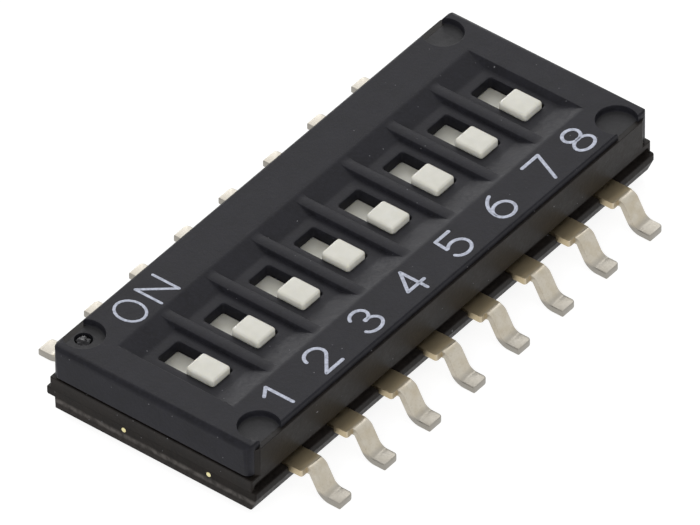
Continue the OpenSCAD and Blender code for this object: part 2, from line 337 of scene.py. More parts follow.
def bump(material, shader, height, strength, depth_mm, under=None):
    """A bump of that depth, on top of another one where one is given."""
    node = material.node_tree.nodes.new("ShaderNodeBump")
    node.inputs["Strength"].default_value = strength
    node.inputs["Distance"].default_value = depth_mm * MM
    links = material.node_tree.links
    links.new(height, node.inputs["Height"])
    if under is not None:
        links.new(under, node.inputs["Normal"])
    links.new(node.outputs["Normal"], shader.inputs["Normal"])
    return node.outputs["Normal"]


# %% [markdown]
# ## Black case plastic
#
# The case is moulded in a black plastic, in moulds that were eroded to a fine matt grain. It
# has a weak, cloudy sheen and hardly any colour: the cover is a little blue, the base a
# little brown. A few pale dust specks lie on it, a painted highlight runs along the lower
# edge of the base's ends, and the floors of the round recesses are paler, where pins pushed
# the part out of its mould. One function mixes all of that from noise, height and which way
# a face is turned, so the two mouldings and the torn gate differ only in their numbers.

# %% Painted highlight on the base's ends, and the recess floors

# Heights between which the painted highlight band comes in, and between which it goes out again
HIGHLIGHT_FADE_IN = (0.25, 0.30)
HIGHLIGHT_FADE_OUT = (0.34, 0.40)
# Colour of the painted highlight along the lower edge of the base's ends
END_HIGHLIGHT_COLOUR = (0.08, 0.073, 0.068)
SUNK_Z = TOP - 0.125
SUNK_COLOUR = (0.027, 0.027, 0.028)


def end_wear(material, vector):
    """A painted highlight along the lower edge of the base's two ends, broken up by noise."""
    reach = calculated(material, "ABSOLUTE", axis_value(material, vector, "X"))
    height = axis_value(material, vector, "Z")
    total = spread(material, reach, HALF_L - 0.03, HALF_L - 0.015, 0, 1)
    for factor in (
        spread(material, height, *HIGHLIGHT_FADE_IN, 0.2, 1),
        spread(material, height, *HIGHLIGHT_FADE_OUT, 1, 0),
        spread(material, noise(material, vector, 9, 3.0), 0.35, 0.62, 0.3, 1),
    ):
        total = calculated(material, "MULTIPLY", total, factor)
    return total


def sunk_floor(material, vector):
    """1 on the level floors of the round recesses, 0 elsewhere."""
    height = axis_value(material, vector, "Z")
    normal = material.node_tree.nodes.new("ShaderNodeNewGeometry").outputs["Normal"]
    low = spread(material, height, SUNK_Z - 0.003, SUNK_Z + 0.003, 1, 0)
    level = spread(material, axis_value(material, normal, "Z"), 0.9, 0.98, 0, 1)
    return calculated(material, "MULTIPLY", low, level)


# %% Black case plastic
CASE_GLOSS = 0.128
COVER_GLOSS = CASE_GLOSS * 0.95
TORN_GLOSS = 0.3
LOW_GLOSS = 0.045
GLOSS_RISE = (0.4, 0.9)
GLOSS_TINT = (0.96, 0.94, 1.0, 1)
SPECK_COLOUR = (0.16, 0.16, 0.17)


def case_plastic(
    name, dark, light, tint, rough_low, rough_high, end_highlight_and_gloss_rise=False, sunk_grain=False,
    gloss=COVER_GLOSS,
):
    """Moulded black plastic: fine eroded grain, cloudy sheen, and a few pale dust specks."""
    material, shader, vector = new_material(name)
    cloud = noise(material, vector, 2.6, 3.0)
    mottle = noise(material, vector, 14, 2.0)
    grain = noise(material, vector, 48, 2.0, 0.6)
    speck = noise(material, vector, 17, 0.0)
    base = blend_colours(material, spread(material, cloud, 0.35, 0.65, 0, 1), dark, light)
    tinted = blend_colours(material, spread(material, mottle, 0.45, 0.75, 0, 1), base, tint)
    specks = spread(material, speck, 0.862, 0.885, 0, 1)
    colour = blend_colours(material, specks, tinted, SPECK_COLOUR)
    if sunk_grain:
        colour = blend_colours(material, sunk_floor(material, vector), colour, SUNK_COLOUR)
    if end_highlight_and_gloss_rise:
        # A painted highlight along the lower edge of the base's ends
        colour = blend_colours(material, end_wear(material, vector), colour, END_HIGHLIGHT_COLOUR)
    links = material.node_tree.links
    links.new(colour, shader.inputs["Base Color"])
    links.new(spread(material, mottle, 0.3, 0.7, rough_low, rough_high), shader.inputs["Roughness"])
    fine = bump(material, shader, grain, 0.35, 0.004)
    bump(material, shader, mottle, 0.25, 0.01, fine)
    if end_highlight_and_gloss_rise:
        height = axis_value(material, vector, "Z")
        rising = spread(material, height, *GLOSS_RISE, LOW_GLOSS, CASE_GLOSS)
        # The middle value stands in where a viewer can't follow the link
        shader.inputs["Specular IOR Level"].default_value = (LOW_GLOSS + CASE_GLOSS) / 2
        links.new(rising, shader.inputs["Specular IOR Level"])
    else:
        shader.inputs["Specular IOR Level"].default_value = gloss
        shader.inputs["Specular Tint"].default_value = GLOSS_TINT
    return material


cover_plastic = case_plastic(
    "cover_plastic", (0.009, 0.009, 0.011), (0.012, 0.012, 0.015), (0.015, 0.015, 0.019),
    0.40, 0.52, sunk_grain=True,
)
# The base's ends carry a painted highlight along their lower edge, and the base's gloss rises with
# height
base_plastic = case_plastic(
    "base_plastic", (0.009, 0.0077, 0.007), (0.013, 0.0108, 0.0095), (0.016, 0.0135, 0.012),
    0.36, 0.5, end_highlight_and_gloss_rise=True,
)
torn_plastic = case_plastic(
    "torn_plastic", (0.003, 0.003, 0.003), (0.006, 0.006, 0.006), (0.01, 0.01, 0.01), 0.2, 0.34,
    gloss=TORN_GLOSS,
)
print("case plastics:", cover_plastic.name, base_plastic.name, torn_plastic.name)

# %% [markdown]
# ## Ivory slider plastic
#
# The sliders are moulded in a pale plastic with a satin surface. A plain colour would make
# them look like chalk, so a little subsurface scattering lets light through their edges, and
# the shaded sides stay warm.

# %% Ivory slider plastic
SLIDER_DARK = (0.59, 0.58, 0.515)
SLIDER_LIGHT = (0.63, 0.62, 0.56)


def slider_plastic_material():
    """Satin ivory plastic that lets a little light in, so its shaded sides stay warm."""
    material, shader, vector = new_material("slider_plastic")
    cloud = noise(material, vector, 5, 3.0)
    grain = noise(material, vector, 60, 2.0)
    clouds = spread(material, cloud, 0.35, 0.65, 0, 1)
    colour = blend_colours(material, clouds, SLIDER_DARK, SLIDER_LIGHT)
    links = material.node_tree.links
    links.new(colour, shader.inputs["Base Color"])
    links.new(spread(material, cloud, 0.3, 0.7, 0.28, 0.38), shader.inputs["Roughness"])
    bump(material, shader, grain, 0.2, 0.002)
    shader.inputs["Subsurface Weight"].default_value = 0.25
    shader.inputs["Subsurface Radius"].default_value = (1.0, 0.9, 0.6)
    shader.inputs["Subsurface Scale"].default_value = 0.08 * MM
    shader.inputs["IOR"].default_value = 1.5
    return material


slider_plastic = slider_plastic_material()
print("slider plastic:", slider_plastic.name)

# %% [markdown]
# ## Plated metals
#
# The terminals are stamped from rolled strip and plated. Their legs have a soft sheen of pale
# gold. The feet are painted darker and greyer, a painted shade, and the shoulders beside the
# case are painted the most golden, a painted reflection. Height, and reach from the middle,
# say where the painted shade and the painted reflection come in. The contacts inside are gold
# plated, and the cut tie bars show a paler, yellower metal. All three come from one function,
# whose streaks can run either way along the strip.

# %% Metals

# Height over which the feet's painted shade gives way to the leg's colour, and the reach from
# the middle over which the shoulders' painted golden reflection does
FOOT_SHADE_FADE = (0.13, 0.2)
SHOULDER_REFLECTION_FADE = (2.58, 2.66)
PAINTED_LIGHT_SHARE = 0.85
STREAK_STRETCH = 0.12


def plated_metal(
    name, colour, stain, dull, rough_low, rough_high, streaks_along="y", foot=None, shoulder=None
):
    """Plated strip: rolling streaks along it, cloudy tarnish, and a soft sheen."""
    material, shader, vector = new_material(name)
    nodes, links = material.node_tree.nodes, material.node_tree.links
    along, across = STREAK_STRETCH, 1
    stretch = nodes.new("ShaderNodeMapping")
    stretch.inputs["Scale"].default_value = (
        (across, along, along) if streaks_along == "y" else (along, across, across)
    )
    links.new(vector, stretch.inputs["Vector"])
    streaks = noise(material, stretch.outputs["Vector"], 55, 2.0)
    cloud = noise(material, vector, 5.5, 3.0)
    fine = noise(material, vector, 30, 2.0)
    toned = blend_colours(material, spread(material, cloud, 0.4, 0.68, 0, 1), colour, stain)
    wear_and_painted_light = blend_colours(material, spread(material, fine, 0.55, 0.75, 0, 0.6), toned, dull)
    # Painted shade makes the feet darker and greyer, and a painted reflection makes the shoulders
    # beside the case golden
    if foot:
        reach = calculated(material, "ABSOLUTE", axis_value(material, vector, "Y"))
        low = spread(material, axis_value(material, vector, "Z"), *FOOT_SHADE_FADE, PAINTED_LIGHT_SHARE, 0)
        near = spread(material, reach, *SHOULDER_REFLECTION_FADE, PAINTED_LIGHT_SHARE, 0)
        wear_and_painted_light = blend_colours(material, low, wear_and_painted_light, foot)
        wear_and_painted_light = blend_colours(material, near, wear_and_painted_light, shoulder)
    links.new(wear_and_painted_light, shader.inputs["Base Color"])
    links.new(spread(material, fine, 0.3, 0.7, rough_low, rough_high), shader.inputs["Roughness"])
    rolled = bump(material, shader, streaks, 0.06, 0.002)
    bump(material, shader, cloud, 0.12, 0.012, rolled)
    shader.inputs["Metallic"].default_value = 1.0
    return material


# The foot colour is painted shade, and the shoulder colour is a painted reflection
terminal_metal = plated_metal(
    "terminal_metal", (0.52, 0.48, 0.405), (0.47, 0.42, 0.33), (0.42, 0.375, 0.30), 0.29, 0.38,
    foot=(0.275, 0.262, 0.238), shoulder=(0.58, 0.47, 0.29),
)
contact_metal = plated_metal(
    "contact_metal", (0.83, 0.64, 0.33), (0.72, 0.5, 0.24), (0.6, 0.45, 0.25), 0.2, 0.32
)
tie_bar_metal = plated_metal(
    "tie_bar_metal", (0.80, 0.74, 0.42), (0.70, 0.60, 0.30), (0.6, 0.52, 0.3), 0.3, 0.45, "x"
)
print("metals:", terminal_metal.name, contact_metal.name, tie_bar_metal.name)

# %% [markdown]
# ## White printing ink
#
# The characters are pad-printed in a thin, cool white ink. It is matt and a little uneven,
# because the pad doesn't lay it down equally everywhere, so noise mixes a thinner tone in.

# %% White printing ink
INK_COLOUR = (0.51, 0.54, 0.64)
THIN_INK_COLOUR = (0.31, 0.33, 0.40)


def ink_material():
    """Pad-printed ink: cool white, a little thin in places, and matt."""
    material, shader, vector = new_material("white_print")
    thin = noise(material, vector, 16, 3.0)
    grain = noise(material, vector, 50, 2.0)
    thinness = spread(material, thin, 0.35, 0.7, 0, 1)
    colour = blend_colours(material, thinness, INK_COLOUR, THIN_INK_COLOUR)
    material.node_tree.links.new(colour, shader.inputs["Base Color"])
    shader.inputs["Roughness"].default_value = 0.6
    bump(material, shader, grain, 0.2, 0.002)
    return material


white_print = ink_material()
print("ink:", white_print.name)

# %% [markdown]
# ## The cover's pockets
#
# The top of the cover is flat but for one long recess with a slope at each end, and low round
# ribs that part it into pockets. Its edges are soft, as moulded edges are. A fine grid is
# laid over the recess with its lines packed close where the surface turns, each point is
# lowered to the height that a short function gives, and the grid is extruded upwards into a
# closed cutter. What the cutter leaves behind is the moulded surface.

# %% Height of the pocketed surface
POCKET_FLOOR_HALF_L = 0.83
SLOPE_RUN = 0.46
POCKET_HALF_L = POCKET_FLOOR_HALF_L + SLOPE_RUN
END_WALL_FOOT = 0.445
END_WALL_TOP = 0.54
RIB_HALF_TOP = 0.115
RIB_HALF_FOOT = 0.14
RIB_DROP = 0.02
RIB_HEIGHT = POCKET_DEPTH - RIB_DROP
RIB_SHIFT = 0.035
RIB_CENTRES = [(a + b) / 2 + RIB_SHIFT for a, b in zip(CENTRES, CENTRES[1:])]
WINDOW_CENTRES = [centre + WINDOW_SHIFT for centre in CENTRES]
SLOPE_SOFT = 0.01
RIB_SOFT = 0.035
EDGE_SOFT = 0.018
RIB_CROWN = 0.012
SKIN = 0.0006


def soft_max(a, b, soft):
    """The larger of two heights, with the corner between them rounded."""
    near = max(soft - abs(a - b), 0) / soft
    return max(a, b) + near * near * soft / 4


def soft_min(a, b, soft):
    """The smaller of two heights, with the corner between them rounded."""
    return -soft_max(-a, -b, soft)


def window_dip(x, y):
    """How far the surface rolls down into the nearest window."""
    centre = min(WINDOW_CENTRES, key=lambda c: abs(x - c))
    past_side = abs(x - centre) - WINDOW_HALF_W + WINDOW_CORNER_R
    past_end = abs(y) - WINDOW_HALF_L + WINDOW_CORNER_R
    away = math.hypot(max(past_side, 0), max(past_end, 0)) - WINDOW_CORNER_R
    if away >= EDGE_SOFT:
        return 0
    return EDGE_SOFT - math.sqrt(EDGE_SOFT ** 2 - (EDGE_SOFT - max(away, 0)) ** 2)


def pocket_height(x, y):
    """Height of the moulded surface over the pocket row."""
    slope = (abs(y) - POCKET_FLOOR_HALF_L) / SLOPE_RUN * POCKET_DEPTH
    past_end = abs(x) - (CENTRES[-1] + END_WALL_FOOT)
    wall = past_end / (END_WALL_TOP - END_WALL_FOOT) * POCKET_DEPTH
    height = soft_max(soft_max(0, slope, SLOPE_SOFT), wall, SLOPE_SOFT)
    from_rib = min(abs(x - c) for c in RIB_CENTRES)
    flank = (RIB_HALF_FOOT - from_rib) / (RIB_HALF_FOOT - RIB_HALF_TOP) * RIB_HEIGHT
    crown = RIB_HEIGHT - RIB_CROWN * (from_rib / RIB_HALF_TOP) ** 2
    height = soft_max(height, soft_min(flank, crown, RIB_SOFT), SLOPE_SOFT)
    return POCKET_FLOOR + soft_min(height, POCKET_DEPTH - SKIN, SLOPE_SOFT) - window_dip(x, y)


# %% Cutter for the pockets
CUTTER_MARGIN = 0.06
CUTTER_RISE = 0.2
WINDOW_ROUNDING = WINDOW_CORNER_R + EDGE_SOFT
ROUNDING_LINES = 8
WIDEST_GAP_X = 0.12
WIDEST_GAP_Y = 0.05


def grid_lines(stops, gap):
    """Sorted places through all the stops, with no two further apart than gap."""
    stops = sorted(set(round(s, 5) for s in stops))
    lines = [stops[0]]
    for stop in stops[1:]:
        parts = max(1, math.ceil((stop - lines[-1]) / gap - 1e-6))
        start = lines[-1]
        lines += [start + (stop - start) * k / parts for k in range(1, parts + 1)]
    return lines


def around(place, reach, steps):
    """Places packed round one place."""
    return [place + reach * k / steps for k in range(-steps, steps + 1)]


def window_side(half_size, side):
    """Places packed over the rounding at one side of a window."""
    outer = half_size + EDGE_SOFT
    return [
        side * (outer - WINDOW_ROUNDING * k / ROUNDING_LINES) for k in range(ROUNDING_LINES + 1)
    ]


def pocket_cutter():
    """A closed solid whose underside is the pocketed surface."""
    edge_x = CENTRES[-1] + END_WALL_TOP + CUTTER_MARGIN
    edge_y = POCKET_HALF_L + CUTTER_MARGIN
    # The lines are packed where the surface turns: at the slopes' ends, the windows and the ribs
    stops_x = [-edge_x, edge_x]
    for side in (-1, 1):
        stops_x += around(side * (CENTRES[-1] + END_WALL_FOOT), 0.03, 4)
        stops_x += around(side * (CENTRES[-1] + END_WALL_TOP), 0.03, 4)
    for centre in WINDOW_CENTRES:
        for side in (-1, 1):
            stops_x += [centre + x for x in window_side(WINDOW_HALF_W, side)]
    for centre in RIB_CENTRES:
        stops_x += around(centre, RIB_HALF_TOP - 0.015, 3)
        for side in (-1, 1):
            stops_x += around(centre + side * (RIB_HALF_FOOT - 0.01), 0.025, 7)
    stops_y = [-edge_y, edge_y]
    for side in (-1, 1):
        stops_y += around(side * POCKET_FLOOR_HALF_L, 0.03, 3)
        stops_y += around(side * POCKET_HALF_L, 0.04, 5)
        stops_y += window_side(WINDOW_HALF_L, side)
    lines_x = grid_lines(stops_x, WIDEST_GAP_X)
    lines_y = grid_lines(stops_y, WIDEST_GAP_Y)
    bm = bmesh.new()
    bmesh.ops.create_grid(bm, x_segments=len(lines_x) - 1, y_segments=len(lines_y) - 1, size=0.5)
    for vert in bm.verts:
        x = lines_x[round((vert.co.x + 0.5) * (len(lines_x) - 1))]
        y = lines_y[round((vert.co.y + 0.5) * (len(lines_y) - 1))]
        vert.co = (x, y, pocket_height(x, y))
    lid = bmesh.ops.extrude_face_region(bm, geom=bm.faces[:])["geom"]
    for vert in new_verts(lid):
        vert.co.z = TOP + CUTTER_RISE
    print("pocket cutter:", len(lines_x), "by", len(lines_y), "lines")
    return as_object("pocket cutter", bm)


# %% [markdown]
# ## The cover
#
# The cover starts as a box with rounded upright corners and a softer easing along its top
# edges, wider at the two ends than along the sides. It is hollow below: a rebate fits over a
# block on the base, and a trough over each slider opens through a window. Four round recesses
# sink into the corners, each spun from its profile, and the one at the near end of the ON
# side holds the pit where the mould's gate broke off. The torn stump in it is a flattened
# ball that noise makes uneven, glossier than the moulded skin round it.

# %% Cover cutters
CORNER_R = 0.15
SIDE_EASE = 0.04
END_EASE = 0.12
CASE_WALL = 0.35
RECESS_R = 0.385
RECESS_FROM_END = 0.6
RECESS_FROM_SIDE = 0.25
RECESS_FOOT_R = 0.02
RIM_R = 0.015
GATE_R = 0.17
GATE_DEPTH = 0.08
GATE_SHIFT = 0.01
GATE_FOOT_R = 0.04
COVER_FOOT_EASE = 0.015


def round_cutter(name, x, y, radius, floor, soft):
    """A round sinking, spun from its profile: soft foot, wall, and a rim that rolls over."""
    bm = bmesh.new()
    outline = [(0, floor), (radius - soft, floor)]
    outline += [
        (radius - soft + soft * math.sin(a), floor + soft - soft * math.cos(a))
        for a in (math.radians(d) for d in (30, 60, 90))
    ]
    outline += [
        (radius, TOP - RIM_R), (radius + RIM_R * 0.35, TOP - RIM_R * 0.3), (radius + RIM_R, TOP),
        (radius + RIM_R, TOP + CUTTER_RISE), (0, TOP + CUTTER_RISE),
    ]
    verts = [bm.verts.new((x + r, y, z)) for r, z in outline]
    edges = [bm.edges.new(pair) for pair in zip(verts, verts[1:])]
    bmesh.ops.spin(
        bm, geom=verts + edges, cent=(x, y, 0), axis=(0, 0, 1), angle=2 * math.pi,
        steps=72, use_merge=True, use_duplicate=False,
    )
    bmesh.ops.remove_doubles(bm, verts=bm.verts, dist=1e-5)
    return as_object(name, bm)


def upright_block(name, size_low, size_high, rounding):
    """A box whose upright edges only are rounded."""
    bm = block(size_low, size_high)
    bevel(bm, upright_edges(bm), rounding, 6)
    return as_object(name, bm)


def cover_block():
    """The cover's outside, before anything is cut from it."""
    bm = block((-HALF_L, -HALF_W, COVER_FOOT), (HALF_L, HALF_W, TOP))
    bevel(bm, upright_edges(bm), CORNER_R, 8)
    bevel(bm, level_edges(bm, TOP), SIDE_EASE, 4)
    bevel(bm, level_edges(bm, COVER_FOOT), COVER_FOOT_EASE, 2)
    cover = as_object("cover", bm)
    # The ends are rounder than the sides, so a wider, deeper block gives them their own easing
    bm = block((-HALF_L, -HALF_W - 1, COVER_FOOT - 1), (HALF_L, HALF_W + 1, TOP))
    bevel(bm, [e for e in level_edges(bm, TOP) if length_along(e, 1) > 1], END_EASE, 8)
    return combine(cover, [as_object("rounded ends", bm)], "INTERSECT")


# %% The cover itself


def make_cover():
    """The moulded cover, cut from its block."""
    cover = cover_block()
    cutters = [pocket_cutter()]
    recess_x = HALF_L - RECESS_FROM_END
    recess_y = HALF_W - RECESS_FROM_SIDE
    floor = WALL_TOP
    for side_x in (-1, 1):
        for side_y in (-1, 1):
            cutters.append(round_cutter(
                "recess", side_x * recess_x, side_y * recess_y, RECESS_R, floor, RECESS_FOOT_R
            ))
    cutters.append(round_cutter(
        "gate pit", -recess_x, recess_y + GATE_SHIFT, GATE_R, floor - GATE_DEPTH, GATE_FOOT_R
    ))
    tongue = SIDE_HALF_W - SIDE_WALL_T - FIT
    for side in (-1, 1):
        near, far = sorted((side * tongue, side * (SIDE_HALF_W + 0.5)))
        length = SIDE_WALL_HALF_L + FIT
        cutters.append(as_object("wall space", block(
            (-length, near, COVER_FOOT - 0.1), (length, far, WALL_TOP + FIT)
        )))
    inside_l, inside_w = HALF_L - CASE_WALL, SIDE_HALF_W - SIDE_WALL_T - CASE_WALL
    cutters.append(as_object("rebate", block(
        (-inside_l, -inside_w, COVER_FOOT - 0.1), (inside_l, inside_w, PLUG_TOP)
    )))
    for centre in CENTRES:
        cutters.append(as_object("trough", block(
            (centre - TROUGH_HALF_W, -TROUGH_HALF_L, PLUG_TOP - 0.1),
            (centre + TROUGH_HALF_W, TROUGH_HALF_L, ROOF_UNDER),
        )))
        cutters.append(upright_block(
            "window",
            (centre + WINDOW_SHIFT - WINDOW_HALF_W, -WINDOW_HALF_L, ROOF_UNDER - 0.05),
            (centre + WINDOW_SHIFT + WINDOW_HALF_W, WINDOW_HALF_L, TOP), WINDOW_CORNER_R,
        ))
    combine(cover, cutters, "DIFFERENCE")
    return finish_piece(cover, "cover", "housing", cover_plastic)


cover = make_cover()
print("cover:", len(cover.data.polygons), "faces")

# %% The torn gate
SCAR_R = GATE_R * 0.94
SCAR_SHAPE = (0.97, 0.97, 0.48)
# Tears as (lumps to the millimetre, height): large ones, and small ones on top of them
SCAR_TEARS = ((14, 0.05), (34, 0.02))


def make_gate_scar():
    """The torn stump of the gate in its pit: a ball flattened and made uneven by noise."""
    bm = bmesh.new()
    bmesh.ops.create_icosphere(bm, subdivisions=4, radius=SCAR_R)
    for vert in bm.verts:
        lift = sum(space_noise.noise(vert.co * scale) * height for scale, height in SCAR_TEARS)
        vert.co += vert.normal * lift
    bmesh.ops.scale(bm, vec=SCAR_SHAPE, verts=bm.verts)
    place = (
        RECESS_FROM_END - HALF_L,
        HALF_W - RECESS_FROM_SIDE + GATE_SHIFT,
        WALL_TOP - GATE_DEPTH,
    )
    bmesh.ops.translate(bm, vec=place, verts=bm.verts)
    scar = as_object("gate_scar", bm)
    return finish_piece(scar, None, "housing", torn_plastic, 60)


gate_scar = make_gate_scar()
print("gate scar:", len(gate_scar.data.polygons), "faces")

# %% [markdown]
# ## The base
#
# The base is built up in levels, as its section shows: a plinth that leans inwards to the
# board, a lip that the terminals come out of, and a body above it. A face is extruded
# upwards from level to level and stretched to each level's size. Two low walls with cut ends
# then rise from the body, outside the cover, and the one on the ON side stands out a little
# further. The long round-ended grooves above the lip are cut afterwards, because they stop
# short of the corners, and so is the sharper step under the lip on the ON side.

# %% Base levels
LIP_HALF_W = base_high.y
GROOVE_HALF_W = HALF_W - 0.02
LIP_TOP = LEAD_TOP - 0.06
LIP_EDGE = LIP_TOP - 0.14
ON_UNDERCUT = 0.19
LIP_LEAN = 0.12
GROOVE_H = 0.15
STAND_OFF = base_low.z
END_UNDERCUT = 0.012
POST_L = 0.06
BASE_CORNER_R = 0.03
BASE_EASE = 0.012
WALL_CUT = 0.1
WALL_RIM_R = 0.012
WALL_SKIN = 0.0003
PLUG_GAP = 0.02


def plan_face(bm, half_l, half_w, z, radius):
    """A flat face with rounded corners, at one height."""
    bmesh.ops.create_grid(bm, x_segments=1, y_segments=1, size=1)
    bmesh.ops.scale(bm, vec=(half_l, half_w, 1), verts=bm.verts)
    bmesh.ops.translate(bm, vec=(0, 0, z), verts=bm.verts)
    bevel(bm, bm.verts[:], radius, 4, affect="VERTICES")
    bm.faces.ensure_lookup_table()
    return bm.faces[0]


def raise_levels(bm, face, levels):
    """Extrudes a face up through levels of (height, half length, half width)."""
    z, half_l, half_w = levels[0]
    for number, (next_z, next_l, next_w) in enumerate(levels[1:]):
        grown = bmesh.ops.extrude_face_region(bm, geom=[face])["geom"]
        if number:
            bmesh.ops.delete(bm, geom=[face], context="FACES_ONLY")
        face = next(part for part in grown if isinstance(part, bmesh.types.BMFace))
        bmesh.ops.translate(bm, vec=(0, 0, next_z - z), verts=face.verts)
        bmesh.ops.scale(bm, vec=(next_l / half_l, next_w / half_w, 1), verts=face.verts)
        z, half_l, half_w = next_z, next_l, next_w
    return face


def base_block():
    """The base's outside up to its parting face."""
    # Each level is (height, half length, half width)
    levels = [
        (STAND_OFF, HALF_L - END_UNDERCUT - BASE_EASE, LIP_HALF_W - LIP_LEAN - BASE_EASE),
        (STAND_OFF + BASE_EASE, HALF_L - END_UNDERCUT, LIP_HALF_W - LIP_LEAN + 0.004),
        (LIP_EDGE - 0.03, HALF_L - END_UNDERCUT * 0.1, LIP_HALF_W - 0.013),
        (LIP_EDGE, HALF_L, LIP_HALF_W),
        (LIP_TOP - 0.02, HALF_L, LIP_HALF_W),
        (LIP_TOP - 0.006, HALF_L, LIP_HALF_W - 0.006),
        (LIP_TOP, HALF_L, LIP_HALF_W - 0.02),
        (LIP_TOP + 0.003, HALF_L, SIDE_HALF_W),
        (SEAM - 0.015, HALF_L, SIDE_HALF_W),
        (SEAM, HALF_L - BASE_EASE, SIDE_HALF_W - BASE_EASE),
    ]
    bm = bmesh.new()
    face = plan_face(bm, levels[0][1], levels[0][2], levels[0][0], BASE_CORNER_R)
    raise_levels(bm, face, levels)
    return as_object("base", bm)


# %% Walls and grooves


def side_wall(side):
    """One of the two walls that stand outside the cover, with cut ends and a soft rim."""
    ledge = ON_LEDGE if side > 0 else NUMBER_LEDGE
    face = HALF_W + ledge - WALL_SKIN
    cut = ledge - WALL_SKIN
    inner, outer = sorted((side * (SIDE_HALF_W - SIDE_WALL_T), side * face))
    bm = block((-SIDE_WALL_HALF_L, inner, SEAM - 0.06), (SIDE_WALL_HALF_L, outer, WALL_TOP))
    outside = face - 0.01
    bevel(bm, outer_edges(upright_edges(bm), outside), cut, 1)
    for vert in bm.verts:
        if abs(vert.co.y) > outside:
            vert.co.x -= math.copysign(WALL_CUT - cut, vert.co.x)
    bevel(bm, outer_edges(level_edges(bm, WALL_TOP), outside), WALL_RIM_R, 3)
    return as_object("side wall", bm)


def groove_cutter(side):
    """A long round-ended cutter for the groove above the lip."""
    length = HALF_L - POST_L
    near, far = sorted((side * GROOVE_HALF_W, side * (LIP_HALF_W + 0.3)))
    bm = block((-length, near, LIP_TOP), (length, far, LIP_TOP + GROOVE_H))
    bevel(bm, [e for e in bm.edges if length_along(e, 1) > 0.1], GROOVE_H * 0.49, 6)
    return as_object("groove", bm)


# %% The base itself


def make_base():
    """The moulded base, with its locating block, walls, grooves and troughs."""
    base = base_block()
    plug_l = HALF_L - CASE_WALL - PLUG_GAP
    plug_w = SIDE_HALF_W - SIDE_WALL_T - CASE_WALL - PLUG_GAP
    plug = as_object("plug", block(
        (-plug_l, -plug_w, SEAM - 0.1), (plug_l, plug_w, PLUG_TOP), PLUG_GAP
    ))
    combine(base, [plug, side_wall(-1), side_wall(1)], "UNION")
    cutters = [groove_cutter(-1), groove_cutter(1)]
    # The lip's underside steps in sharply on the ON side
    cutters.append(as_object("undercut", block(
        (-HALF_L - 0.1, LIP_HALF_W - ON_UNDERCUT, -0.1),
        (HALF_L + 0.1, LIP_HALF_W + 0.1, LIP_EDGE - 0.02),
    )))
    for centre in CENTRES:
        cutters.append(as_object("trough", block(
            (centre - TROUGH_HALF_W, -TROUGH_HALF_L, LEAD_TOP),
            (centre + TROUGH_HALF_W, TROUGH_HALF_L, PLUG_TOP + 0.1),
        )))
    combine(base, cutters, "DIFFERENCE")
    return finish_piece(base, "base", "housing", base_plastic)


base = make_base()
print("base:", len(base.data.polygons), "faces")

# %% [markdown]
# ## The sliders
#
# A slider is a flat plate that runs under the roof of the cover, with a knob that stands up
# through the window. The knob's edges are well rounded for a fingernail or a pen's tip, so it
# is a box with its upright edges rounded first and its top rim after them.

# %% Sliders
KNOB_HALF_W = 0.255
KNOB_HALF_L = 0.31
KNOB_CORNER_R = 0.06
KNOB_RIM_R = 0.05
PLATE_T = 0.26
CLIP_T = 0.05
STAKE_R = 0.06
STAKE_HEAD_R = 0.07
STAKE_L = CLIP_T + 0.02


def make_slider(i):
    """One slider: plate, knob and the stake that holds its moving contact."""
    low, high = slider_boxes[i - 1]
    centre = (low + high) / 2
    plate_under = low.z + CLIP_T
    plate_top = plate_under + PLATE_T
    plate = as_object(f"slider_{i}", block(
        (low.x, low.y, plate_under), (high.x, high.y, plate_top), 0.012, 2
    ))
    bm = block(
        (centre.x - KNOB_HALF_W, centre.y - KNOB_HALF_L, plate_top - 0.1),
        (centre.x + KNOB_HALF_W, centre.y + KNOB_HALF_L, high.z),
    )
    bevel(bm, upright_edges(bm), KNOB_CORNER_R, 6)
    bevel(bm, level_edges(bm, high.z), KNOB_RIM_R, 5)
    knob = as_object("knob", bm)
    bm = bmesh.new()
    bmesh.ops.create_cone(
        bm, segments=24, radius1=STAKE_R, radius2=STAKE_HEAD_R, depth=STAKE_L, cap_ends=True
    )
    bmesh.ops.translate(bm, vec=(centre.x, centre.y, low.z + STAKE_L / 2), verts=bm.verts)
    combine(plate, [knob, as_object("stake", bm)], "UNION")
    return finish_piece(
        plate, f"slider_{i}", f"switch_{i}", slider_plastic
    )


sliders = [make_slider(i) for i in range(1, WAYS + 1)]
print("sliders:", len(sliders), "of", len(sliders[0].data.polygons), "faces")

# %% [markdown]
# ## The terminals
#
# Each terminal is stamped from strip and bent like a gull's wing. The strip's centreline is
# a chain of edges, bevelled at the bends so that they turn as arcs. Extruding it sideways
# gives a sheet, the shoulder is one more extrusion from the sheet's edge, and Solidify
# gives the sheet its thickness. Last come the edges that a worn press leaves rounded: the
# long edges of leg and foot a little, and one corner of the foot and of the shoulder more.

# %% Bent sheets


def bent_sheet(points, low_x, high_x):
    """A bmesh sheet: a chain of (y, z) points, extruded sideways."""
    bm = bmesh.new()
    verts = [bm.verts.new((low_x, y, z)) for y, z in points]
    edges = [bm.edges.new(pair) for pair in zip(verts, verts[1:])]
    swept = bmesh.ops.extrude_edge_only(bm, edges=edges)["geom"]
    bmesh.ops.translate(bm, vec=(high_x - low_x, 0, 0), verts=new_verts(swept))
    return bm


def thickened(name, bm, thickness):
    """A sheet as an object of that thickness, half of it to each side."""
    piece = as_object(name, bm)
    solidify = piece.modifiers.new("thickness", "SOLIDIFY")
    solidify.thickness = thickness
    solidify.offset = 0
    solidify.use_even_offset = True
    piece.data = evaluated_mesh(piece)
    piece.modifiers.clear()
    return piece


